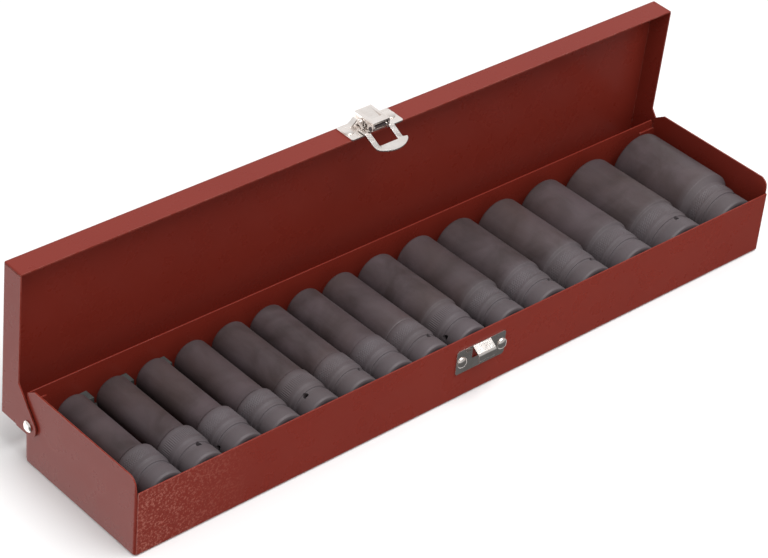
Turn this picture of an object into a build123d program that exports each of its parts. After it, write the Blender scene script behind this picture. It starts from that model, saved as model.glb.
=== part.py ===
from build123d import *
import math
import os

os.makedirs("parts", exist_ok=True)

# ---------------------------------------------------------------- dimensions
# All lengths in mm. Origin: centre of the tray's underside. +X along the tray,
# -Y the latch side, +Y the hinge side, +Z up.

# folded sheet-metal tray
TRAY_L = 450.0          # length over the end walls
TRAY_D = 91.1           # depth over the front and rear walls
SHEET = 0.8             # sheet thickness
H_FRONT = 39.2          # top of the front wall
H_REAR = 42.0           # top of the rear wall
H_END = 47.4            # top of the end walls
WALL_X = 224.0          # half length of the front and rear walls
TAB_R_X = 212.9         # inner end of the rear corner tabs
TAB_F_X = 214.0         # inner end of the front corner tabs
TAB_R_H = 36.3
TAB_F_H = 36.0

# lid, described closed and relative to the hinge pivot
PIVOT_Y = 40.56
PIVOT_Z = 25.12
LID_OPEN = math.radians(88.53)
LID_DX = 0.35           # the lid sits a little to the right on its rivets
LID_HX = 226.85         # half length over the end flanges
LID_YF = -87.68         # outer face of the front flange
LID_YR = 6.13           # outer face of the rear flange
LID_ZP = 23.23          # outer face of the panel
LID_FL = 14.12          # depth of the front and end flanges
LID_RF = 10.0           # depth of the rear flange
EAR_R = 6.1             # rounded end of the hinge ears
EAR_H = 27.1            # ear width where it leaves the end flange

# hinge rivets
RIV_SHOULDER_R = 2.5
RIV_SHANK_R = 1.8
RIV_HEAD_R = 3.2

# draw latch, centred on the front flange; v runs down the flange from the
# panel, w runs outward from the flange
LATCH_X = 0.6
BASE_HW = 18.1
BASE_V0, BASE_V1 = 1.3, 14.9
LEV_HW = 5.9
LEV_PV, LEV_PW = 14.9, 3.4      # lever pin
BAIL_PV, BAIL_PW = 7.6, 4.0     # bail pin
BAIL_IN, BAIL_OUT = 6.5, 10.0   # inner and outer half width of the bail
LATCH_RIV_X = 14.5
LATCH_RIV_V = 7.2

# catch on the front wall
CATCH_X0, CATCH_X1 = -17.1, 18.0
CATCH_Z0, CATCH_Z1 = 17.0, 32.2
CATCH_RIV = ((-13.1, 24.0), (15.7, 24.0))
HOOK_X0, HOOK_X1 = -5.9, 6.6

# sockets: nominal size, hex-end diameter, drive-end diameter, x of the axis,
# turn of the pin hole about the axis in degrees, shoulder position
SOCKETS = (
    (10, 19.7, 24.5, -203.60, 205, 50.0),
    (11, 20.3, 24.5, -178.65, 262, 50.6),
    (12, 20.3, 24.4, -153.70, 170, 49.8),
    (13, 21.6, 24.5, -128.73, 215, 50.9),
    (14, 23.3, 24.5, -103.57, 300, 50.2),
    (15, 23.4, 24.5, -78.28, 238, 51.0),
    (16, 23.6, 24.5, -53.19, 190, 50.4),
    (17, 24.4, 24.5, -28.60, 250, 51.0),
    (18, 27.0, 24.9, -2.00, 160, 51.2),
    (19, 28.1, 25.0, 27.02, 225, 52.0),
    (21, 31.0, 28.4, 57.15, 60, 52.4),
    (22, 33.2, 30.4, 90.01, 245, 52.8),
    (24, 33.6, 30.7, 124.05, 205, 52.6),
    (27, 39.6, 37.4, 161.70, 265, 52.0),
    (30, 40.8, 34.1, 203.25, 230, 53.0),
)
SOCKET_LEN = 78.0
SOCKET_Y = 36.0         # hex-end face
DRIVE_TOP = 39.8        # the drive ends are level here
SQUARE = 12.9           # half-inch drive square

# grey support bars under the sockets
BAR_R_Y0, BAR_R_YM, BAR_R_Y1 = 27.5, 36.6, 43.4
BAR_F_Y0, BAR_F_Y1 = -40.0, -27.0
BAR_HX = 222.6
BAR_CLEAR = 0.35

# ------------------------------------------------------------ working planes
SIN, COS = math.sin(LID_OPEN), math.cos(LID_OPEN)
LID = Plane(origin=(LID_DX, PIVOT_Y, PIVOT_Z), x_dir=(1, 0, 0), z_dir=(0, SIN, COS))


def lid_point(x, y, z):
    return LID.from_local_coords((x, y, z))


def lid_level(z):
    """Parallel to the panel at height z."""
    return Plane(origin=lid_point(0, 0, z), x_dir=LID.x_dir, z_dir=LID.z_dir)


def lid_side(x):
    """Across the lid at x: sketch x is depth, sketch y is height."""
    return Plane(origin=lid_point(x, 0, 0), x_dir=LID.y_dir, z_dir=LID.x_dir)


def flange_face(w):
    """On the front flange, w outside it: sketch x along, sketch y is -v."""
    return Plane(origin=lid_point(LATCH_X, LID_YF - w, LID_ZP), x_dir=LID.x_dir, z_dir=-LID.y_dir)


def latch_side(x):
    """Across the latch at x: sketch x is v, sketch y is w; grows towards -x."""
    return Plane(origin=lid_point(LATCH_X + x, LID_YF, LID_ZP), x_dir=-LID.z_dir, z_dir=-LID.x_dir)


def latch_section(v):
    """Across the latch at v: sketch x along, sketch y is w; grows towards +v."""
    return Plane(origin=lid_point(LATCH_X, LID_YF, LID_ZP - v), x_dir=LID.x_dir, z_dir=-LID.z_dir)


def front_wall(out):
    """On the front wall, out mm outside it: sketch x is X, sketch y is Z."""
    return Plane(origin=(0, -TRAY_D / 2 - out, 0), x_dir=(1, 0, 0), z_dir=(0, -1, 0))


def turned_rivet(base, head_r, head_h, shank_r, grip, tail_r, tail_h, shoulder=None):
    """Domed rivet turned about the base plane's normal, head base at its origin."""
    side = Plane(origin=base.origin, x_dir=base.x_dir, z_dir=-base.y_dir)
    with BuildSketch(side) as outline:
        with BuildLine():
            dome = ThreePointArc((0, head_h), (head_r * 0.60, head_h * 0.86), (head_r, 0.45))
            pts = [dome @ 1, (head_r, 0)]
            if shoulder:
                pts += [(shoulder[0], 0), (shoulder[0], -shoulder[1]), (shank_r, -shoulder[1])]
            else:
                pts += [(shank_r, 0)]
            pts += [(shank_r, -grip), (tail_r, -grip), (tail_r, -grip - tail_h * 0.45),
                    (tail_r * 0.6, -grip - tail_h), (0, -grip - tail_h), dome @ 0]
            Polyline(*pts)
        make_face()
    revolve(outline.sketch, axis=Axis(base.origin, base.z_dir))


# ---------------------------------------------------------------- tray shell
yt = TRAY_D / 2 - SHEET
with BuildPart() as tray_shell:
    # end walls with their corner tabs, as a C section on the plan
    with BuildSketch(Plane.XY):
        for s in (-1, 1):
            with BuildLine():
                Polyline(
                    (s * TRAY_L / 2, -yt), (s * TRAY_L / 2, yt), (s * TAB_R_X, yt),
                    (s * TAB_R_X, yt - SHEET), (s * (TRAY_L / 2 - SHEET), yt - SHEET),
                    (s * (TRAY_L / 2 - SHEET), -yt + SHEET), (s * TAB_F_X, -yt + SHEET),
                    (s * TAB_F_X, -yt), close=True)
            make_face()
    extrude(amount=H_END)
    fillet(tray_shell.edges().filter_by(Axis.Z).filter_by(
        lambda e: abs(abs(e.center().X) - TRAY_L / 2) < 0.01), 1.5)
    fillet(tray_shell.edges().filter_by(Axis.Z).filter_by(
        lambda e: abs(abs(e.center().X) - (TRAY_L / 2 - SHEET)) < 0.01), 0.6)
    # the tabs are lower than the end walls
    with BuildSketch(Plane.XY.offset(TAB_R_H)):
        with Locations((-TRAY_L / 2 + SHEET, 20), (TAB_R_X - 1, 20)):
            Rectangle(TRAY_L / 2 - SHEET - TAB_R_X + 1, 60, align=(Align.MIN, Align.MIN))
    extrude(amount=20, mode=Mode.SUBTRACT)
    with BuildSketch(Plane.XY.offset(TAB_F_H)):
        with Locations((-TRAY_L / 2 + SHEET, -80), (TAB_F_X - 1, -80)):
            Rectangle(TRAY_L / 2 - SHEET - TAB_F_X + 1, 60, align=(Align.MIN, Align.MIN))
    extrude(amount=20, mode=Mode.SUBTRACT)
    # outline of the end walls: round front corner, clipped rear corner
    with BuildSketch(Plane.YZ.offset(-TRAY_L / 2 - 1)):
        with Locations((0, 30)):
            Rectangle(120, 80)
        with BuildLine():
            a = Line((-44.75, -1), (-44.75, 38.6))
            b = Line(a @ 1, (-43.9, 43.3))
            c = ThreePointArc(b @ 1, (-41.9, 46.2), (-37.4, H_END))
            d = Line(c @ 1, (37.6, H_END))
            e = Line(d @ 1, (43.9, 43.4))
            f = Line(e @ 1, (44.75, 41.6))
            g = Line(f @ 1, (44.75, -1))
            Line(g @ 1, a @ 0)
        make_face(mode=Mode.SUBTRACT)
    extrude(amount=TRAY_L + 2, mode=Mode.SUBTRACT)
    fillet(tray_shell.edges().filter_by(GeomType.LINE).filter_by(Axis.Y).filter_by(
        lambda e: abs(abs(e.center().X) - TRAY_L / 2) < 0.01 and e.center().Z < 0.01), 0.6)
    # front wall, floor and rear wall, one folded strip
    with BuildSketch(Plane.YZ.offset(-WALL_X)) as strip:
        with BuildLine():
            Polyline((-TRAY_D / 2, H_FRONT), (-TRAY_D / 2, 0), (TRAY_D / 2, 0), (TRAY_D / 2, H_REAR),
                     (yt, H_REAR), (yt, SHEET), (-yt, SHEET), (-yt, H_FRONT), close=True)
        make_face()
        fillet(strip.vertices().filter_by(lambda p: abs(p.Y) < 0.01), 1.2)
        fillet(strip.vertices().filter_by(lambda p: abs(p.Y - SHEET) < 0.01), 0.5)
        fillet(strip.vertices().filter_by(lambda p: p.Y > 30), 0.25)
    extrude(amount=2 * WALL_X)
    # clipped upper ends of the rear wall
    with BuildSketch(Plane.XZ.offset(-TRAY_D / 2 - 1)):
        for s in (-1, 1):
            with BuildLine():
                Polyline((s * (WALL_X - 2.4), H_REAR + 1), (s * (WALL_X + 0.02), H_REAR - 3.6),
                         (s * (WALL_X + 0.02), H_REAR + 1), close=True)
            make_face()
    extrude(amount=1 + SHEET, mode=Mode.SUBTRACT)
    # holes for the hinge rivets and the catch rivets
    with BuildSketch(Plane.YZ.offset(-TRAY_L / 2 - 1)):
        with Locations((PIVOT_Y, PIVOT_Z)):
            Circle(RIV_SHANK_R + 0.03)
    extrude(amount=TRAY_L + 2, mode=Mode.SUBTRACT)
    with BuildSketch(front_wall(1)):
        with Locations(*CATCH_RIV):
            Circle(1.53)
    extrude(amount=-3, mode=Mode.SUBTRACT)
tray_shell.part.label = "tray_shell"
export_step(tray_shell.part, "parts/tray_shell.step")

# ----------------------------------------------------------------- lid shell
lid_z0 = LID_ZP - LID_FL
lid_mid = (LID_YF + LID_YR) / 2
lid_w = LID_YR - LID_YF
up = Axis(LID.origin, LID.z_dir)
with BuildPart() as lid_shell:
    with BuildSketch(lid_level(lid_z0)):
        with Locations((0, lid_mid)):
            Rectangle(2 * LID_HX, lid_w)
    extrude(amount=LID_FL)
    fillet(lid_shell.edges().filter_by(Axis(LID.origin, LID.z_dir)), 0.9)
    fillet(lid_shell.faces().sort_by(up)[-1].edges(), 1.1)
    with BuildSketch(lid_level(lid_z0)):
        with Locations((0, lid_mid)):
            Rectangle(2 * (LID_HX - SHEET), lid_w - 2 * SHEET)
    extrude(amount=LID_FL - SHEET, mode=Mode.SUBTRACT)
    # the rear flange is shorter than the others
    with BuildSketch(lid_level(lid_z0)):
        with Locations((0, LID_YR)):
            Rectangle(2 * (LID_HX - SHEET), 2 * SHEET)
    extrude(amount=LID_FL - LID_RF, mode=Mode.SUBTRACT)
    # hinge ears reach down from the end flanges to the rivets
    for s in (-1, 1):
        x0 = -LID_HX if s < 0 else LID_HX - SHEET
        with BuildSketch(lid_side(x0)):
            with BuildLine():
                Polyline((LID_YR - EAR_H, lid_z0), (-3.835, -4.743), (0, 0), (EAR_R, 0),
                         (EAR_R, lid_z0 + 1), (LID_YR - EAR_H, lid_z0 + 1), close=True)
            make_face()
            Circle(EAR_R)
        extrude(amount=SHEET)
    with BuildSketch(lid_side(-LID_HX - 1)):
        Circle(RIV_SHOULDER_R + 0.06)
    extrude(amount=2 * LID_HX + 2, mode=Mode.SUBTRACT)
    # open seams of the folded corners
    with BuildSketch(lid_level(lid_z0)):
        with Locations((-LID_HX + SHEET / 2, LID_YF + SHEET + 0.2), (LID_HX - SHEET / 2, LID_YF + SHEET + 0.2)):
            Rectangle(SHEET + 0.02, 0.4)
    extrude(amount=LID_FL - 1.3, mode=Mode.SUBTRACT)
    with BuildSketch(lid_level(lid_z0)):
        with Locations((-LID_HX + SHEET + 0.25, LID_YR - SHEET / 2), (LID_HX - SHEET - 0.25, LID_YR - SHEET / 2)):
            Rectangle(0.5, SHEET + 0.02)
    extrude(amount=LID_FL - 1.3, mode=Mode.SUBTRACT)
    # holes for the latch rivets
    with BuildSketch(flange_face(1)):
        with Locations((-LATCH_RIV_X, -LATCH_RIV_V), (LATCH_RIV_X, -LATCH_RIV_V)):
            Circle(1.53)
    extrude(amount=-3, mode=Mode.SUBTRACT)
lid_shell.part.label = "lid_shell"
export_step(lid_shell.part, "parts/lid_shell.step")

# -------------------------------------------------------------- hinge rivets
ear_out_l = -LID_HX + LID_DX
ear_out_r = LID_HX + LID_DX
with BuildPart() as hinge_rivet_left:
    head = Plane(origin=(ear_out_l - 0.12, PIVOT_Y, PIVOT_Z), x_dir=(0, 1, 0), z_dir=(-1, 0, 0))
    turned_rivet(head, RIV_HEAD_R, 1.6, RIV_SHANK_R, 0.12 - ear_out_l - TRAY_L / 2 + SHEET, 3.0, 1.0,
                 shoulder=(RIV_SHOULDER_R, 0.12 - ear_out_l - TRAY_L / 2))
hinge_rivet_left.part.label = "hinge_rivet_left"
export_step(hinge_rivet_left.part, "parts/hinge_rivet_left.step")

with BuildPart() as hinge_rivet_right:
    head = Plane(origin=(ear_out_r + 0.12, PIVOT_Y, PIVOT_Z), x_dir=(0, 1, 0), z_dir=(1, 0, 0))
    turned_rivet(head, RIV_HEAD_R, 1.7, RIV_SHANK_R, 0.12 + ear_out_r - TRAY_L / 2 + SHEET, 3.0, 1.0,
                 shoulder=(RIV_SHOULDER_R, 0.12 + ear_out_r - TRAY_L / 2))
hinge_rivet_right.part.label = "hinge_rivet_right"
export_step(hinge_rivet_right.part, "parts/hinge_rivet_right.step")

# --------------------------------------------------------- latch: base plate
with BuildPart() as latch_base_plate:
    with BuildSketch(flange_face(0)) as plan:
        with Locations((0, -(BASE_V0 + BASE_V1) / 2)):
            Rectangle(2 * BASE_HW, BASE_V1 - BASE_V0)
        chamfer(plan.vertices(), 0.9)
        with Locations((0, -BASE_V1)):
            Rectangle(2 * 6.3, 1.8, mode=Mode.SUBTRACT)
        with Locations((-LATCH_RIV_X, -LATCH_RIV_V), (LATCH_RIV_X, -LATCH_RIV_V)):
            Circle(1.53, mode=Mode.SUBTRACT)
    extrude(amount=SHEET)
    # two small cheeks inside the lever carry its pin
    for x in (4.7, -3.9):
        with BuildSketch(latch_side(x)):
            with BuildLine():
                Polyline((11.0, 0.4), (14.0, 0.4), (16.0, 2.1), (14.9, 5.1), (12.4, 4.6), close=True)
            make_face()
            with Locations((LEV_PV, LEV_PW)):
                Circle(1.7)
                Circle(1.03, mode=Mode.SUBTRACT)
        extrude(amount=0.8)
    # raised wings beside the lever
    for s in (-1, 1):
        with BuildSketch(latch_section(1.9)):
            with BuildLine():
                Polyline((s * 12.0, 0.3), (s * 12.0, 0.8), (s * 10.6, 1.1), (s * 8.8, 2.5), (s * 7.5, 3.9),
                         (s * 6.5, 4.3), (s * 6.5, 3.4), (s * 7.1, 3.1), (s * 8.2, 1.9), (s * 9.8, 0.3),
                         close=True)
            make_face()
        extrude(amount=3.2)
latch_base_plate.part.label = "latch_base_plate"
export_step(latch_base_plate.part, "parts/latch_base_plate.step")

with BuildPart() as latch_rivets:
    for s in (-1, 1):
        base = Plane(origin=lid_point(LATCH_X + s * LATCH_RIV_X, LID_YF - SHEET, LID_ZP - LATCH_RIV_V),
                     x_dir=LID.x_dir, z_dir=-LID.y_dir)
        turned_rivet(base, 3.3, 0.9, 1.5, 2 * SHEET, 2.4, 0.8)
latch_rivets.part.label = "latch_rivets"
export_step(latch_rivets.part, "parts/latch_rivets.step")

with BuildPart() as lever_pin:
    with BuildSketch(latch_side(LEV_HW + 0.05)):
        with Locations((LEV_PV, LEV_PW)):
            Circle(1.0)
    extrude(amount=2 * LEV_HW + 0.1)
    for x in (LEV_HW + 0.25, -LEV_HW - 0.05):
        with BuildSketch(latch_side(x)):
            with Locations((LEV_PV, LEV_PW)):
                Circle(1.25)
        extrude(amount=0.2)
lever_pin.part.label = "lever_pin"
export_step(lever_pin.part, "parts/lever_pin.step")

# -------------------------------------------------------------- latch: lever
with BuildPart() as latch_lever:
    with BuildSketch(latch_side(LEV_HW)) as prof:
        with BuildLine():
            Polyline((1.1, 2.8), (1.1, 7.5), (16.6, 7.5), (16.8, 2.1), (5.4, 2.1), (4.8, 2.8), close=True)
        make_face()
        fillet(prof.vertices().filter_by(lambda p: p.X > 16.5 and p.Y < 3), 1.3)
        fillet(prof.vertices().filter_by(lambda p: p.X < 2 and p.Y > 5), 0.6)
    extrude(amount=2 * LEV_HW)
    long_edges = latch_lever.faces().sort_by(Axis(LID.origin, -LID.y_dir))[-1].edges().filter_by(
        Axis(LID.origin, LID.z_dir))
    fillet(long_edges, 0.45)
    with BuildSketch(latch_side(LEV_HW - SHEET)):
        with BuildLine():
            Polyline((1.9, 1.0), (1.9, 6.4), (18.0, 6.4), (18.0, 1.0), close=True)
        make_face()
    extrude(amount=2 * (LEV_HW - SHEET), mode=Mode.SUBTRACT)
    # thumb ramp pressed into the top
    with BuildSketch(latch_side(3.7)):
        with BuildLine():
            Polyline((3.2, 7.51), (12.4, 7.51), (12.4, 6.75), close=True)
        make_face()
    extrude(amount=7.4, mode=Mode.SUBTRACT)
    # side windows between the two pins
    with BuildSketch(latch_side(LEV_HW + 1)):
        with Locations((11.15, 3.0)):
            Rectangle(2.2, 3.8)
        with Locations((LEV_PV, LEV_PW)):
            Circle(1.06)
        with Locations((BAIL_PV, BAIL_PW)):
            Circle(0.96)
    extrude(amount=2 * LEV_HW + 2, mode=Mode.SUBTRACT)
    # pressed line along each side
    for x in (LEV_HW + 0.01, -LEV_HW + 0.25):
        with BuildSketch(latch_side(x)):
            with Locations((6.2, 5.55)):
                Rectangle(7.6, 0.4)
        extrude(amount=0.26, mode=Mode.SUBTRACT)
latch_lever.part.label = "latch_lever"
export_step(latch_lever.part, "parts/latch_lever.step")

# --------------------------------------------------------------- latch: bail
with BuildPart() as bail_pin:
    with BuildSketch(latch_side(7.2)):
        with Locations((BAIL_PV, BAIL_PW)):
            Circle(0.9)
    extrude(amount=14.4)
    for x in (7.7, -7.2):
        with BuildSketch(latch_side(x)):
            with Locations((BAIL_PV, BAIL_PW)):
                Circle(1.35)
        extrude(amount=0.5)
bail_pin.part.label = "bail_pin"
export_step(bail_pin.part, "parts/bail_pin.step")

with BuildPart() as latch_bail:
    # bent strip seen from the side
    with BuildSketch(latch_side(BAIL_OUT + 3)) as strip:
        with BuildLine():
            Polyline((9.0, 1.2), (15.2, 1.2), (21.2, -1.7), (23.2, -2.5), (31.5, -3.23),
                     (31.5, -2.43), (23.3, -1.7), (21.5, -0.95), (15.4, 2.0), (9.0, 2.0), close=True)
        make_face()
        fillet(strip.vertices().filter_by(lambda p: 15.0 < p.X < 15.5), 1.0)
    extrude(amount=2 * BAIL_OUT + 6)
    # trimmed to two arms and a crescent cross bar
    with BuildSketch(flange_face(-8)) as plan:
        with BuildLine():
            a = Line((-BAIL_OUT, -8.9), (-BAIL_OUT, -25.2))
            b = Line(a @ 1, (-BAIL_OUT + 0.9, -26.7))
            c = ThreePointArc(b @ 1, (0.6, -30.3), (BAIL_OUT + 1.8, -25.9))
            d = Line(c @ 1, (BAIL_OUT + 2.6, -24.3))
            d2 = Line(d @ 1, (BAIL_OUT, -23.7))
            e = Line(d2 @ 1, (BAIL_OUT, -8.9))
            f = Line(e @ 1, (BAIL_IN, -8.9))
            g = Line(f @ 1, (BAIL_IN, -24.1))
            h = Line(g @ 1, (-BAIL_IN, -24.1))
            i = Line(h @ 1, (-BAIL_IN, -8.9))
            Line(i @ 1, a @ 0)
        make_face()
        fillet(plan.vertices().filter_by(lambda p: abs(abs(p.X) - BAIL_IN) < 0.01 and p.Y < -20), 0.9)
    extrude(amount=16, mode=Mode.INTERSECT)
    # eyes round the pin, folded up from the arms
    for x in (7.1, -6.3):
        with BuildSketch(latch_side(x)):
            with BuildLine():
                Polyline((6.4, 2.6), (9.0, 1.2), (12.0, 1.2), (12.0, 1.9), (9.6, 2.6), (9.35, 4.6), close=True)
            make_face()
            with Locations((BAIL_PV, BAIL_PW)):
                Circle(1.9)
                Circle(0.96, mode=Mode.SUBTRACT)
        extrude(amount=0.8)
latch_bail.part.label = "latch_bail"
export_step(latch_bail.part, "parts/latch_bail.step")

# --------------------------------------------------------------------- catch
with BuildPart() as catch_plate:
    with BuildSketch(front_wall(0)) as plan:
        with Locations(((CATCH_X0 + CATCH_X1) / 2, (CATCH_Z0 + CATCH_Z1) / 2)):
            Rectangle(CATCH_X1 - CATCH_X0, CATCH_Z1 - CATCH_Z0)
        chamfer(plan.vertices(), 1.1)
        with Locations(((HOOK_X0 + HOOK_X1) / 2, 27.4)):
            Rectangle(HOOK_X1 - HOOK_X0, 6.8, mode=Mode.SUBTRACT)
        with Locations(*CATCH_RIV):
            Circle(1.53, mode=Mode.SUBTRACT)
    extrude(amount=SHEET)
    # hook pressed out of the window, open below and at both ends
    with BuildSketch(Plane.YZ.offset(HOOK_X0)) as hook:
        y0 = -TRAY_D / 2
        with BuildLine():
            a = Polyline((y0 - 0.2, 30.8), (y0 - 0.2, 31.9), (y0 - 0.8, 31.9), (y0 - 4.7, 29.23))
            b = ThreePointArc(a @ 1, (y0 - 5.8, 28.1), (y0 - 6.2, 26.6))
            c = Polyline(b @ 1, (y0 - 6.2, 24.4), (y0 - 6.0, 24.2), (y0 - 5.6, 24.2), (y0 - 5.4, 24.4),
                         (y0 - 5.4, 26.6))
            d = ThreePointArc(c @ 1, (y0 - 5.05, 27.75), (y0 - 4.3, 28.55))
            Polyline(d @ 1, (y0 - 0.9, 30.8), a @ 0)
        make_face()
    extrude(amount=HOOK_X1 - HOOK_X0)
catch_plate.part.label = "catch_plate"
export_step(catch_plate.part, "parts/catch_plate.step")

with BuildPart() as catch_rivets:
    for cx, cz in CATCH_RIV:
        base = Plane(origin=(cx, -TRAY_D / 2 - SHEET, cz), x_dir=(1, 0, 0), z_dir=(0, -1, 0))
        turned_rivet(base, 3.3, 1.7, 1.5, 2 * SHEET, 2.4, 0.8)
catch_rivets.part.label = "catch_rivets"
export_step(catch_rivets.part, "parts/catch_rivets.step")


# ------------------------------------------------------------- support bars
def axis_height(drive_d):
    return DRIVE_TOP - drive_d / 2


def bar_top(left, right, z_max, web):
    """Highest level at which the bar between two notches is still web wide."""
    z = z_max
    while z > 4.0:
        half = 0.0
        for r, za in (left, right):
            dz = min(0.0, z - za)
            half += math.sqrt(max(0.0, r * r - dz * dz))
        if half <= (right_x - left_x) - web:
            return z
        z -= 0.25
    return 4.0


# name, socket diameter that the notches follow, slices (y0, y1, highest web);
# the rear bar is low under the hex ends and tall behind them
BARS = (
    ("foam_bar_front", 2, ((BAR_F_Y0, BAR_F_Y1, 21.5),)),
    ("foam_bar_rear", 1, ((BAR_R_Y0, BAR_R_YM, 14.0), (BAR_R_YM, BAR_R_Y1, 28.6))),
)
for bar_name, dia_index, slices in BARS:
    notches = [(s[3], s[dia_index] / 2 + BAR_CLEAR, axis_height(s[2])) for s in SOCKETS]
    with BuildPart() as foam_bar:
        for by0, by1, z_max in slices:
            with BuildSketch(Plane.XZ.offset(-by1)):
                # ends, and one block under each gap, cut by the notches
                with Locations((0, SHEET)):
                    Rectangle(2 * BAR_HX, 6.0, align=(Align.CENTER, Align.MIN))
                edges_x = [-BAR_HX] + [n[0] for n in notches] + [BAR_HX]
                for k in range(len(edges_x) - 1):
                    left_x, right_x = edges_x[k], edges_x[k + 1]
                    if k == 0:
                        top = z_max
                    elif k == len(edges_x) - 2:
                        top = 9.0
                    else:
                        top = bar_top((notches[k - 1][1], notches[k - 1][2]), (notches[k][1], notches[k][2]),
                                      z_max, 2.2)
                    with Locations((left_x, SHEET)):
                        Rectangle(right_x - left_x, top - SHEET, align=(Align.MIN, Align.MIN))
                for nx, nr, nz in notches:
                    with Locations((nx, nz)):
                        Circle(nr, mode=Mode.SUBTRACT)
                        Rectangle(2 * nr, 40, align=(Align.CENTER, Align.MIN), mode=Mode.SUBTRACT)
            extrude(amount=by1 - by0)
    foam_bar.part.label = bar_name
    export_step(foam_bar.part, "parts/" + bar_name + ".step")

# ------------------------------------------------------------------- sockets
for size, hex_d, drive_d, sx, turn, shoulder in SOCKETS:
    rb, rn = hex_d / 2, drive_d / 2
    sz = axis_height(drive_d)
    af = size + 0.3
    corner = af / 2 / math.cos(math.pi / 6)
    step = abs(rb - rn)
    with BuildPart() as socket:
        # turned outline; sketch y runs from the hex end to the drive end
        with BuildSketch(Plane(origin=(sx, SOCKET_Y, sz), x_dir=(1, 0, 0), z_dir=(0, 0, 1))):
            with BuildLine():
                Polyline(
                    (0, 0), (rb - 0.9, 0), (rb - 0.25, -0.35), (rb, -1.1), (rb, -shoulder),
                    (rn if rb > rn else rn - 0.5, -shoulder - max(0.5, step * 0.9)),
                    (rn, -shoulder - max(0.5, step * 0.9) - 0.5),
                    (rn, -63.6), (rn - 0.7, -64.3), (rn - 0.7, -66.6), (rn - 1.5, -66.9), (rn - 1.5, -69.3),
                    (rn - 0.7, -69.6), (rn - 0.7, -76.6), (rn - 1.0, -77.4), (rn - 1.9, -78.0), (0, -78.0),
                    close=True)
            make_face()
        revolve(axis=Axis((sx, SOCKET_Y, sz), (0, 1, 0)))
        hex_face = Plane(origin=(sx, SOCKET_Y, sz), x_dir=(1, 0, 0), z_dir=(0, -1, 0))
        # hexagon, clearance bore behind it, and a hole through to the square
        with BuildSketch(hex_face):
            RegularPolygon(radius=af / 2, side_count=6, major_radius=False)
        extrude(amount=26, mode=Mode.SUBTRACT)
        with BuildSketch(hex_face.offset(25)):
            Circle(af / 2)
        extrude(amount=32, mode=Mode.SUBTRACT)
        with BuildSketch(hex_face.offset(56)):
            Circle(4.0)
        extrude(amount=6, mode=Mode.SUBTRACT)
        with BuildSketch(hex_face.offset(SOCKET_LEN)):
            Rectangle(SQUARE, SQUARE)
        extrude(amount=-18, mode=Mode.SUBTRACT)
        # countersunk mouth of the hexagon
        with BuildSketch(Plane(origin=(sx, SOCKET_Y, sz), x_dir=(1, 0, 0), z_dir=(0, 0, 1))):
            with BuildLine():
                Polyline((0, 0.1), (corner + 0.5, 0.1), (corner - 0.9, -1.3), (0, -1.3), close=True)
            make_face()
        revolve(axis=Axis((sx, SOCKET_Y, sz), (0, 1, 0)), mode=Mode.SUBTRACT)
        # cross hole for the retaining pin, in the ring groove
        ang = math.radians(turn)
        with BuildSketch(Plane(origin=(sx, SOCKET_Y - 68.1, sz), x_dir=(0, 1, 0),
                               z_dir=(math.cos(ang), 0, math.sin(ang)))):
            Circle(1.6)
        extrude(amount=30, both=True, mode=Mode.SUBTRACT)
    socket.part.label = "socket_%d" % size
    export_step(socket.part, "parts/socket_%d.step" % size)
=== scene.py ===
import math
import random

import bmesh
import bpy
import numpy as np
from mathutils import Matrix, Vector


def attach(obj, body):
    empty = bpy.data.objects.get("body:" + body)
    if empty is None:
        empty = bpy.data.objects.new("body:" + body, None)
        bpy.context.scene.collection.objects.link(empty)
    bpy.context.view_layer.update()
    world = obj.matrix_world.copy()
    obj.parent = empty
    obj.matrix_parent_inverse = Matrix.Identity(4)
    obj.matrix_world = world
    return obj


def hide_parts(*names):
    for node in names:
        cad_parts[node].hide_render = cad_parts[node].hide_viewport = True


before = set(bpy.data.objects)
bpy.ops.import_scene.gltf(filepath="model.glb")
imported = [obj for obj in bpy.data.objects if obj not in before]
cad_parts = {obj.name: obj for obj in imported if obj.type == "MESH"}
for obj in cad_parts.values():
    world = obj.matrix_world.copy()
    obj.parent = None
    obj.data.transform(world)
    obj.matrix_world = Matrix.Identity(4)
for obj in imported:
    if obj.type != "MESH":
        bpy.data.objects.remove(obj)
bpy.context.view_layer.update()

MM = 0.001
random.seed(11)


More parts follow.
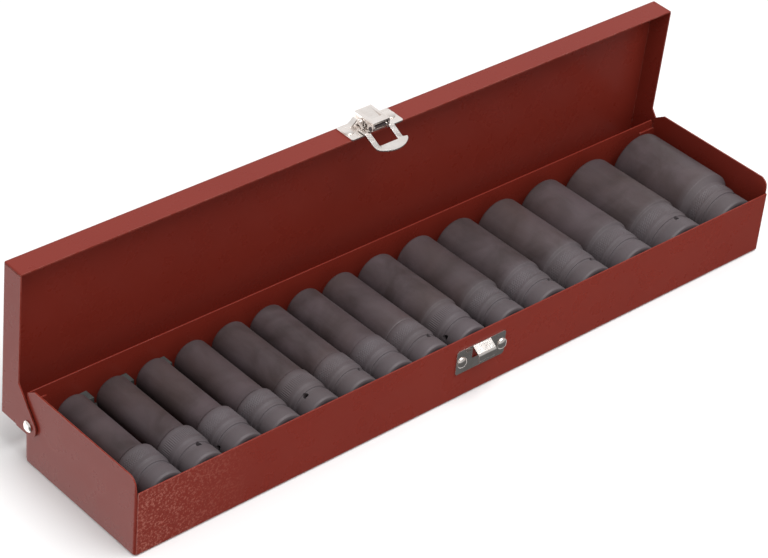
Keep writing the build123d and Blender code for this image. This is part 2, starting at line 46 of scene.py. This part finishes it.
# ------------------------------------------------------------ node helpers
class Mat:
    """A small wrapper that keeps node set-ups readable."""

    def __init__(self, name):
        self.m = bpy.data.materials.new(name)
        self.m.use_nodes = True
        self.t = self.m.node_tree
        self.t.nodes.clear()
        self.out = self.t.nodes.new("ShaderNodeOutputMaterial")
        self.b = self.t.nodes.new("ShaderNodeBsdfPrincipled")
        self.t.links.new(self.b.outputs[0], self.out.inputs[0])
        self.co = self.t.nodes.new("ShaderNodeTexCoord").outputs["Object"]

    def node(self, kind, **vals):
        n = self.t.nodes.new(kind)
        for k, v in vals.items():
            setattr(n, k, v)
        return n

    def link(self, a, b):
        self.t.links.new(a, b)

    def mapped(self, scale=(1, 1, 1), loc=(0, 0, 0), rot=(0, 0, 0)):
        n = self.node("ShaderNodeMapping")
        n.inputs["Scale"].default_value = scale
        n.inputs["Location"].default_value = loc
        n.inputs["Rotation"].default_value = rot
        self.link(self.co, n.inputs[0])
        return n.outputs[0]

    def noise(self, scale, detail=2.0, rough=0.5, vec=None, distort=0.0):
        n = self.node("ShaderNodeTexNoise")
        n.inputs["Scale"].default_value = scale
        n.inputs["Detail"].default_value = detail
        n.inputs["Roughness"].default_value = rough
        n.inputs["Distortion"].default_value = distort
        self.link(vec or self.co, n.inputs["Vector"])
        return n.outputs["Fac"]

    def voronoi(self, scale, vec=None, feature="F1"):
        n = self.node("ShaderNodeTexVoronoi", feature=feature)
        n.inputs["Scale"].default_value = scale
        self.link(vec or self.co, n.inputs["Vector"])
        return n.outputs["Distance"]

    def ramp(self, fac, stops, interp="LINEAR"):
        n = self.node("ShaderNodeValToRGB")
        n.color_ramp.interpolation = interp
        el = n.color_ramp.elements
        while len(el) > 1:
            el.remove(el[-1])
        el[0].position, el[0].color = stops[0][0], self.rgba(stops[0][1])
        for p, c in stops[1:]:
            e = el.new(p)
            e.color = self.rgba(c)
        self.link(fac, n.inputs[0])
        return n.outputs[0]

    @staticmethod
    def rgba(c):
        if isinstance(c, (int, float)):
            return (c, c, c, 1.0)
        return (c[0], c[1], c[2], 1.0)

    def mix(self, fac, a, b, blend="MIX"):
        n = self.node("ShaderNodeMix", data_type="RGBA", blend_type=blend)
        ins = [s for s in n.inputs if s.type == "RGBA"]
        for s, v in ((n.inputs[0], fac), (ins[0], a), (ins[1], b)):
            if isinstance(v, bpy.types.NodeSocket):
                self.link(v, s)
            elif s is n.inputs[0]:
                s.default_value = v
            else:
                s.default_value = self.rgba(v)
        return [o for o in n.outputs if o.type == "RGBA"][0]

    def math(self, op, a, b=0.0, c=0.0, clamp=False):
        n = self.node("ShaderNodeMath", operation=op, use_clamp=clamp)
        for s, v in zip(n.inputs, (a, b, c)):
            if isinstance(v, bpy.types.NodeSocket):
                self.link(v, s)
            else:
                s.default_value = v
        return n.outputs[0]

    def span(self, v, lo, hi, a=0.0, b=1.0):
        n = self.node("ShaderNodeMapRange")
        n.inputs[1].default_value, n.inputs[2].default_value = lo, hi
        n.inputs[3].default_value, n.inputs[4].default_value = a, b
        self.link(v, n.inputs[0])
        return n.outputs[0]

    def split(self, vec=None):
        n = self.node("ShaderNodeSeparateXYZ")
        self.link(vec or self.co, n.inputs[0])
        return n.outputs

    def edge(self, radius, lo, hi):
        """0 on flats, 1 on outer and inner edges, from the rounded normal."""
        bev = self.node("ShaderNodeBevel", samples=4)
        bev.inputs["Radius"].default_value = radius
        geo = self.node("ShaderNodeNewGeometry")
        dot = self.node("ShaderNodeVectorMath", operation="DOT_PRODUCT")
        self.link(bev.outputs[0], dot.inputs[0])
        self.link(geo.outputs["True Normal"], dot.inputs[1])
        return self.span(dot.outputs["Value"], hi, lo)

    def bump(self, height, dist, strength=1.0, normal=None):
        n = self.node("ShaderNodeBump")
        n.inputs["Distance"].default_value = dist
        n.inputs["Strength"].default_value = strength
        self.link(height, n.inputs["Height"])
        if normal is not None:
            self.link(normal, n.inputs["Normal"])
        return n.outputs[0]

    def set(self, **vals):
        for k, v in vals.items():
            s = self.b.inputs[k.replace("_", " ")]
            if isinstance(v, bpy.types.NodeSocket):
                self.link(v, s)
            elif s.type == "RGBA":
                s.default_value = self.rgba(v)
            else:
                s.default_value = v


# --------------------------------------------------------------- materials
def paint_material():
    """Glossy brick-red enamel on sheet steel: orange peel, uneven film, lighter
    edges (partly wear, partly painted highlight), and coarser peel with painted highlight glints on the front wall's
    left end."""
    k = Mat("enamel_brick_red")
    x, y, z = k.split()
    broad = k.noise(9.0, 3.0, 0.55)
    film = k.noise(70.0, 4.0, 0.6)
    peel = k.noise(620.0, 2.0, 0.5)
    grit = k.noise(1500.0, 3.0, 0.65)
    # the mottled area: outer face of the front wall, fading out to the right; coarser peel bump and rougher film there,
    # plus lighter specks that are painted highlight glints on the peel
    near_left = k.math("MAXIMUM", k.span(x, -0.212, -0.150, 1.0, 0.0), 0.0)
    on_front = k.span(y, -0.0452, -0.0450, 1.0, 0.0)
    low = k.span(z, 0.0385, 0.034, 0.75, 1.0)
    coarse_peel_and_glint_zone = k.math("MULTIPLY", k.math("MULTIPLY", near_left, on_front, clamp=True), low, clamp=True)
    col = k.mix(k.span(broad, 0.30, 0.72), (0.188, 0.0208, 0.0128), (0.202, 0.0236, 0.0144))
    col = k.mix(k.math("MULTIPLY", k.span(film, 0.35, 0.80), 0.08), col, (0.220, 0.029, 0.0160))
    coarse = k.noise(820.0, 3.0, 0.7)
    # painted highlight: lighter pink specks stand in for glints of light on the coarse orange peel
    glint_speck_mask = k.math("MULTIPLY", k.span(coarse, 0.50, 0.62), coarse_peel_and_glint_zone)
    col = k.mix(k.math("MULTIPLY", glint_speck_mask, 0.55), col, (0.44, 0.155, 0.115))
    # edges lightened in noisy patches: partly enamel wear, partly a painted highlight along the sheet edges
    edge_wear_and_highlight = k.math("MULTIPLY", k.edge(0.00040, 0.72, 0.97), k.span(k.noise(260.0, 3.0, 0.6), 0.32, 0.56))
    col = k.mix(k.math("MULTIPLY", edge_wear_and_highlight, 0.50), col, (0.56, 0.27, 0.22))
    rough = k.math("ADD", k.span(film, 0.3, 0.7, 0.24, 0.34), k.math("MULTIPLY", coarse_peel_and_glint_zone, 0.10))
    height = k.math("ADD", k.math("MULTIPLY", peel, 0.55), k.math("MULTIPLY", k.math("MULTIPLY", coarse, coarse_peel_and_glint_zone), 1.6))
    n1 = k.bump(height, 0.00006, 0.36)
    n2 = k.bump(k.noise(16.0, 1.0, 0.4), 0.0009, 0.28, n1)
    k.set(Base_Color=col, Roughness=rough, Normal=n2)
    k.set(Specular_IOR_Level=0.18, IOR=1.5, Coat_Weight=0.04, Coat_Roughness=0.16)
    return k.m


def nickel_material():
    """Bright nickel plate over pressed steel, with soft waviness and hairlines."""
    k = Mat("nickel_plate")
    broad = k.noise(160.0, 2.0, 0.5)
    fine = k.noise(1800.0, 3.0, 0.6)
    hair = k.noise(700.0, 3.0, 0.6, vec=k.mapped((0.12, 1.0, 1.0)))
    # edges shifted a little towards a paler, cooler grey in noisy patches
    pale_edge_mask = k.math("MULTIPLY", k.edge(0.0004, 0.70, 0.98), k.span(broad, 0.40, 0.62))
    col = k.mix(k.span(broad, 0.3, 0.7), (0.86, 0.790, 0.745), (0.95, 0.900, 0.865))
    col = k.mix(k.math("MULTIPLY", pale_edge_mask, 0.25), col, (0.92, 0.90, 0.88))
    rough = k.math("ADD", k.span(fine, 0.3, 0.7, 0.13, 0.22), k.math("MULTIPLY", k.span(hair, 0.5, 0.7), 0.08))
    n1 = k.bump(k.math("ADD", k.math("MULTIPLY", broad, 1.0), k.math("MULTIPLY", hair, 0.05)), 0.00012, 0.5)
    k.set(Base_Color=col, Roughness=rough, Normal=n1)
    k.set(Metallic=1.0)
    return k.m


def phosphate_material():
    """Dark phosphate over forged steel: matt, slightly cloudy, rubbed edges."""
    k = Mat("phosphate_steel")
    cloud = k.noise(38.0, 4.0, 0.6, distort=0.6)
    warm = k.noise(23.0, 3.0, 0.55, vec=k.mapped(loc=(3.1, 1.7, 0.4)))
    grain = k.noise(1400.0, 4.0, 0.65)
    streak = k.noise(220.0, 3.0, 0.6, vec=k.mapped((1.0, 0.10, 1.0)))
    col = k.mix(k.span(cloud, 0.36, 0.66), (0.047, 0.033, 0.034), (0.084, 0.062, 0.068))
    col = k.mix(k.math("MULTIPLY", k.span(warm, 0.45, 0.72), 0.5), col, (0.078, 0.050, 0.046))
    col = k.mix(k.math("MULTIPLY", k.span(streak, 0.50, 0.72), 0.16), col, (0.105, 0.088, 0.090))
    col = k.mix(k.math("MULTIPLY", k.span(grain, 0.60, 0.72), 0.22), col, (0.13, 0.11, 0.11))
    # the ground drive end is a little lighter and cooler than the forged body
    neck = k.span(k.split()[1], -0.0125, -0.0185, 0.0, 1.0)
    col = k.mix(k.math("MULTIPLY", k.math("MINIMUM", k.math("MAXIMUM", neck, 0.0), 1.0), 0.45), col, (0.125, 0.110, 0.120))
    rub = k.math("MULTIPLY", k.edge(0.0006, 0.80, 0.985), k.span(k.noise(120.0, 3.0, 0.6), 0.35, 0.62))
    col = k.mix(k.math("MULTIPLY", rub, 0.55), col, (0.21, 0.20, 0.215))
    rough = k.math("SUBTRACT", k.span(grain, 0.3, 0.7, 0.50, 0.64), k.math("MULTIPLY", rub, 0.18))
    h = k.math("ADD", k.math("MULTIPLY", grain, 0.6), k.math("MULTIPLY", streak, 0.6))
    k.set(Base_Color=col, Roughness=rough, Normal=k.bump(h, 0.00005, 0.6))
    k.set(Metallic=0.1, Specular_IOR_Level=0.45)
    return k.m


def foam_material():
    """Closed-cell grey foam: fine cells, dusty, no gloss."""
    k = Mat("foam_grey")
    cells = k.voronoi(1500.0)
    dust = k.noise(60.0, 4.0, 0.6)
    pores = k.noise(900.0, 4.0, 0.7)
    col = k.mix(k.span(dust, 0.35, 0.7), (0.042, 0.043, 0.042), (0.072, 0.073, 0.070))
    col = k.mix(k.math("MULTIPLY", k.span(pores, 0.55, 0.7), 0.6), col, (0.032, 0.032, 0.031))
    h = k.math("ADD", k.math("MULTIPLY", cells, 0.7), k.math("MULTIPLY", pores, 0.6))
    k.set(Base_Color=col, Roughness=k.span(pores, 0.3, 0.7, 0.86, 0.98), Normal=k.bump(h, 0.00022, 0.8))
    k.set(Specular_IOR_Level=0.25)
    return k.m


def floor_material():
    k = Mat("studio_paper")
    col = k.mix(k.span(k.noise(3.0, 2.0), 0.3, 0.7), (0.885, 0.885, 0.885), (0.905, 0.905, 0.905))
    k.set(Base_Color=col, Roughness=k.span(k.noise(400.0, 2.0), 0.3, 0.7, 0.80, 0.90))
    k.set(Specular_IOR_Level=0.2)
    return k.m


PAINT = paint_material()
NICKEL = nickel_material()
PHOSPHATE = phosphate_material()
FOAM = foam_material()


# ------------------------------------------------------------ mesh helpers
def new_object(name, mesh, material):
    obj = bpy.data.objects.new(name, mesh)
    bpy.context.scene.collection.objects.link(obj)
    mesh.materials.clear()
    mesh.materials.append(material)
    return obj


def finish_shading(mesh, angle=32.0):
    mesh.polygons.foreach_set("use_smooth", [True] * len(mesh.polygons))
    mesh.set_sharp_from_angle(angle=math.radians(angle))
    mesh.update()


def refined(node, name, body, material, bevel=0.00015, segments=2, weld=2e-6, angle=28.0):
    """A sheet or turned part rebuilt with merged faces and softly rounded edges."""
    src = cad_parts[node].data
    bm = bmesh.new()
    bm.from_mesh(src)
    bmesh.ops.remove_doubles(bm, verts=bm.verts, dist=weld)
    bmesh.ops.dissolve_limit(bm, angle_limit=math.radians(0.6), verts=bm.verts, edges=bm.edges,
                             use_dissolve_boundaries=False)
    bm.normal_update()
    if bevel > 0:
        sharp = [e for e in bm.edges if len(e.link_faces) == 2
                 and e.calc_face_angle(0.0) > math.radians(angle)]
        bmesh.ops.bevel(bm, geom=sharp, offset=bevel, offset_type="OFFSET", segments=segments, profile=0.5,
                        affect="EDGES", clamp_overlap=True, harden_normals=False)
    bmesh.ops.triangulate(bm, faces=[f for f in bm.faces if len(f.verts) > 4], quad_method="BEAUTY",
                          ngon_method="BEAUTY")
    mesh = bpy.data.meshes.new(name)
    bm.to_mesh(mesh)
    bm.free()
    obj = new_object(name, mesh, material)
    finish_shading(mesh, 40.0)
    wn = obj.modifiers.new("weighted", "WEIGHTED_NORMAL")
    wn.keep_sharp = True
    wn.weight = 60
    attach(obj, body)
    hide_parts(node)
    return obj


# ------------------------------------------------------------- sheet metal
refined("tray_shell", "tray_sheet", "tray", PAINT, bevel=0.00016)
refined("lid_shell", "lid_sheet", "lid", PAINT, bevel=0.00016)
refined("foam_bar_front", "support_bar_front", "tray", FOAM, bevel=0.0005, segments=2)
refined("foam_bar_rear", "support_bar_rear", "tray", FOAM, bevel=0.0005, segments=2)
refined("catch_plate", "catch_sheet", "tray", NICKEL, bevel=0.00014)
refined("latch_base_plate", "latch_base_sheet", "lid", NICKEL, bevel=0.00014)
refined("latch_lever", "latch_lever_sheet", "lever", NICKEL, bevel=0.00012)
refined("latch_bail", "latch_bail_strip", "bail", NICKEL, bevel=0.00016)
for node, body in (("catch_rivets", "tray"), ("hinge_rivet_left", "tray"), ("hinge_rivet_right", "tray"),
                   ("latch_rivets", "lid"), ("bail_pin", "lever")):
    refined(node, node + "_turned", body, NICKEL, bevel=0.0001, segments=2, angle=35.0)
refined("lever_pin", "lever_pin_turned", "lid", PHOSPHATE, bevel=0.0001, segments=2, angle=35.0)


# ------------------------------------------------------------------ sockets
# nominal size, hex-end and drive-end diameter, axis x, pin-hole turn, shoulder
SOCKETS = (
    (10, 19.7, 24.5, -203.60, 205, 50.0), (11, 20.3, 24.5, -178.65, 262, 50.6),
    (12, 20.3, 24.4, -153.70, 170, 49.8), (13, 21.6, 24.5, -128.73, 215, 50.9),
    (14, 23.3, 24.5, -103.57, 300, 50.2), (15, 23.4, 24.5, -78.28, 238, 51.0),
    (16, 23.6, 24.5, -53.19, 190, 50.4), (17, 24.4, 24.5, -28.60, 250, 51.0),
    (18, 27.0, 24.9, -2.00, 160, 51.2), (19, 28.1, 25.0, 27.02, 225, 52.0),
    (21, 31.0, 28.4, 57.15, 60, 52.4), (22, 33.2, 30.4, 90.01, 245, 52.8),
    (24, 33.6, 30.7, 124.05, 205, 52.6), (27, 39.6, 37.4, 161.70, 265, 52.0),
    (30, 40.8, 34.1, 203.25, 230, 53.0),
)
SEG = 288


def rounded(points):
    """Rounds each corner of an open outline of (radius, distance, corner radius)."""
    out = [points[0][:2]]
    for i in range(1, len(points) - 1):
        p = Vector(points[i][:2])
        a, b = Vector(points[i - 1][:2]) - p, Vector(points[i + 1][:2]) - p
        la, lb = a.length, b.length
        rad = points[i][2] if len(points[i]) > 2 else 0.12
        ang = a.angle(b)
        t = min(rad / math.tan(ang / 2), la * 0.45, lb * 0.45)
        p0, p1 = p + a.normalized() * t, p + b.normalized() * t
        for u in (0.0, 0.33, 0.67, 1.0):
            q = p0.lerp(p, u).lerp(p.lerp(p1, u), u)
            out.append((q.x, q.y))
    out.append(points[-1][:2])
    return out


def socket_mesh(name, size, hex_d, drive_d, sx, turn, shoulder, index):
    rb, rn = hex_d / 2, drive_d / 2
    sz = 39.8 - rn
    af = size + 0.3
    step = abs(rb - rn)
    run = max(0.5, step * 0.9)
    theta = np.arange(SEG) * (2 * math.pi / SEG)
    cos, sin = np.cos(theta), np.sin(theta)

    def circle(r):
        return np.full(SEG, r)

    def square(q):
        return (q / 2) / np.maximum(np.abs(cos), np.abs(sin))

    def hexagon(a):
        m = np.mod(theta, math.pi / 3) - math.pi / 6
        return (a / 2) / np.cos(m)

    corner_r = af / 2 / math.cos(math.pi / 6)
    neck0 = shoulder + run + 0.5
    outline = [(rb - 1.0, 0.0), (rb - 0.3, 0.25, 0.5), (rb, 1.1, 0.6), (rb, shoulder, 0.55)]
    outline += [(rn if rb > rn else rn - 0.45, shoulder + run, 0.5), (rn, neck0, 0.35)]
    outline += [(rn, 63.6, 0.25), (rn - 0.7, 64.3, 0.3), (rn - 0.7, 66.6, 0.12), (rn - 1.5, 66.9, 0.15),
                (rn - 1.5, 69.3, 0.15), (rn - 0.7, 69.6, 0.12), (rn - 0.7, 76.4, 0.3), (rn - 1.2, 77.5, 0.4),
                (rn - 2.0, 78.0)]
    rings = [(circle(r), s) for r, s in rounded(outline)]
    # knurled band: fine ridges raised out of the neck
    k0 = max(neck0 + 1.6, 55.0)
    k1 = min(k0 + 6.6, 62.6)
    teeth = 72
    band = []
    for i in range(27):
        s = k0 + (k1 - k0) * i / 26.0
        fade = min(1.0, i / 2.0, (26 - i) / 2.0)
        ph = theta * teeth
        if index in (1, 4, 8):
            pat = 1.0 - np.abs(np.mod(ph / (2 * math.pi), 1.0) * 2 - 1)
        else:
            tilt = (s - k0) * 2 * math.pi / 1.35
            a = 1.0 - np.abs(np.mod((ph / 2 + tilt) / (2 * math.pi), 1.0) * 2 - 1)
            b = 1.0 - np.abs(np.mod((ph / 2 - tilt) / (2 * math.pi), 1.0) * 2 - 1)
            pat = np.minimum(a, b) * 1.7
        band.append((rn - 0.16 + 0.20 * fade * np.clip(pat, 0, 1) + 0.16 * (1 - fade), s))
    rings = [r for r in rings if r[1] < k0 - 0.05] + band + [r for r in rings if r[1] > k1 + 0.05]
    # drive-end face, square, web hole, bore, hexagon and its mouth
    rings += [(circle(rn - 3.0), 78.0), (square(13.9), 78.0), (square(13.3), 77.85), (square(12.9), 77.3),
              (square(12.9), 60.0), (circle(4.0), 60.0), (circle(4.0), 57.0), (circle(af / 2 - 0.02), 57.0),
              (circle(af / 2 - 0.02), 26.0), (hexagon(af), 26.0), (hexagon(af), 1.9),
              (np.maximum(hexagon(af), corner_r - 0.7), 1.3), (circle(corner_r + 0.1), 0.45),
              (circle(corner_r + 0.45), 0.0)]
    n = len(rings)
    co = np.empty((n, SEG, 3))
    for i, (r, s) in enumerate(rings):
        co[i, :, 0] = sx + r * cos
        co[i, :, 1] = 36.0 - s
        co[i, :, 2] = sz + r * sin
    idx = np.arange(n * SEG).reshape(n, SEG)
    nxt = np.roll(idx, -1, axis=0)
    faces = np.stack([idx, np.roll(idx, -1, axis=1), np.roll(nxt, -1, axis=1), nxt], axis=-1).reshape(-1, 4)
    mesh = bpy.data.meshes.new(name)
    mesh.vertices.add(n * SEG)
    mesh.vertices.foreach_set("co", (co * MM).reshape(-1))
    mesh.loops.add(len(faces) * 4)
    mesh.loops.foreach_set("vertex_index", faces.reshape(-1))
    mesh.polygons.add(len(faces))
    mesh.polygons.foreach_set("loop_start", np.arange(len(faces)) * 4)
    mesh.polygons.foreach_set("loop_total", np.full(len(faces), 4))
    mesh.update(calc_edges=True)
    mesh.validate()
    return mesh, sx, sz, turn, rn


def pin_cutter(sx, sz, turn, rn):
    """Rod across the socket for the retaining-pin hole."""
    bm = bmesh.new()
    a = math.radians(turn)
    axis = Vector((math.cos(a), 0, math.sin(a)))
    rot = axis.to_track_quat("Z", "Y").to_matrix().to_4x4()
    place = Matrix.Translation(Vector((sx, 36.0 - 68.1, sz)) * MM) @ rot
    bmesh.ops.create_cone(bm, cap_ends=True, segments=28, radius1=1.6 * MM, radius2=1.6 * MM,
                          depth=(2 * rn + 8) * MM, matrix=place)
    mesh = bpy.data.meshes.new("pin_cutter")
    bm.to_mesh(mesh)
    bm.free()
    return mesh


for index, (size, hex_d, drive_d, sx, turn, shoulder) in enumerate(SOCKETS):
    mesh, cx, cz, turn, rn = socket_mesh("socket_%d_forged" % size, size, hex_d, drive_d, sx, turn, shoulder, index)
    obj = new_object("socket_%d_forged" % size, mesh, PHOSPHATE)
    cut = new_object("pin_cutter_%d" % size, pin_cutter(cx, cz, turn, rn), PHOSPHATE)
    boo = obj.modifiers.new("pin_hole", "BOOLEAN")
    boo.operation, boo.solver, boo.object = "DIFFERENCE", "EXACT", cut
    bpy.context.view_layer.update()
    done = bpy.data.meshes.new_from_object(obj.evaluated_get(bpy.context.evaluated_depsgraph_get()))
    obj.modifiers.clear()
    obj.data = done
    bpy.data.objects.remove(cut)
    finish_shading(obj.data, 36.0)
    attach(obj, "socket_%d_body" % size)
    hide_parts("socket_%d" % size)


# ------------------------------------------------------------ floor, lights
def floor():
    bm = bmesh.new()
    bmesh.ops.create_grid(bm, x_segments=24, y_segments=24, size=4.0)
    mesh = bpy.data.meshes.new("studio_floor")
    bm.to_mesh(mesh)
    bm.free()
    obj = new_object("studio_floor", mesh, floor_material())
    obj.location = (0, 0, -0.0003)
    obj.visible_glossy = False      # gloss on the object sees the light tent instead


def area(name, loc, target, size, power, colour=(1, 1, 1)):
    lamp = bpy.data.lights.new(name, "AREA")
    lamp.shape = "RECTANGLE"
    lamp.size, lamp.size_y = size
    lamp.energy = power
    lamp.color = colour
    obj = bpy.data.objects.new(name, lamp)
    obj.location = loc
    obj.rotation_euler = (Vector(target) - Vector(loc)).to_track_quat("-Z", "Y").to_euler()
    bpy.context.scene.collection.objects.link(obj)


floor()
area("key_soft", (0.13, -0.45, 1.35), (0, 0, 0), (1.3, 1.0), 19.5)


def studio_world():
    """Soft light tent: bright above and low on the left, dim low in front."""
    world = bpy.data.worlds.new("studio")
    bpy.context.scene.world = world
    world.use_nodes = True
    t = world.node_tree
    back = t.nodes["Background"]
    geo = t.nodes.new("ShaderNodeTexCoord")
    sep = t.nodes.new("ShaderNodeSeparateXYZ")
    t.links.new(geo.outputs["Generated"], sep.inputs[0])

    def span(v, lo, hi, a, b):
        n = t.nodes.new("ShaderNodeMapRange")
        n.interpolation_type = "SMOOTHSTEP"
        for s, x in zip(n.inputs[1:5], (lo, hi, a, b)):
            s.default_value = x
        t.links.new(v, n.inputs[0])
        return n.outputs[0]

    def blend(f, a, b):
        n = t.nodes.new("ShaderNodeMix")
        n.data_type = "FLOAT"
        for s, v in zip(n.inputs[:1] + n.inputs[2:4], (f, a, b)):
            if isinstance(v, bpy.types.NodeSocket):
                t.links.new(v, s)
            else:
                s.default_value = v
        return n.outputs[0]

    low = blend(span(sep.outputs["Y"], -0.35, 0.25, 0.0, 1.0), 0.11, 1.52)
    back_sky = blend(span(sep.outputs["Y"], 0.0, 0.70, 0.0, 1.0), 0.48, 0.93)
    sky = blend(span(sep.outputs["X"], -0.70, 0.10, 0.0, 1.0), 0.72, back_sky)
    level = blend(span(sep.outputs["Z"], -0.10, 0.12, 0.0, 1.0), low, sky)
    t.links.new(level, back.inputs[1])
    back.inputs[0].default_value = (1.0, 1.0, 1.0, 1.0)


studio_world()

# ------------------------------------------------------------------- camera
cam = bpy.data.cameras.new("camera")
cam.sensor_fit = "HORIZONTAL"
cam.sensor_width = 36.0
cam.lens = 124.414
cam.clip_start, cam.clip_end = 0.05, 20.0
eye = bpy.data.objects.new("camera", cam)
bpy.context.scene.collection.objects.link(eye)
right = Vector((0.74616514, -0.66076374, 0.08141785))
up = Vector((0.3358176, 0.47914485, 0.81095422))
fwd = Vector((0.57486009, 0.57776422, -0.57941728))
m = Matrix((right, up, -fwd)).transposed().to_4x4()
m.translation = Vector((-0.825115, -0.798911, 0.858791))
eye.matrix_world = m
bpy.context.scene.camera = eye

scene = bpy.context.scene
scene.view_settings.view_transform = "Standard"
scene.view_settings.look = "None"
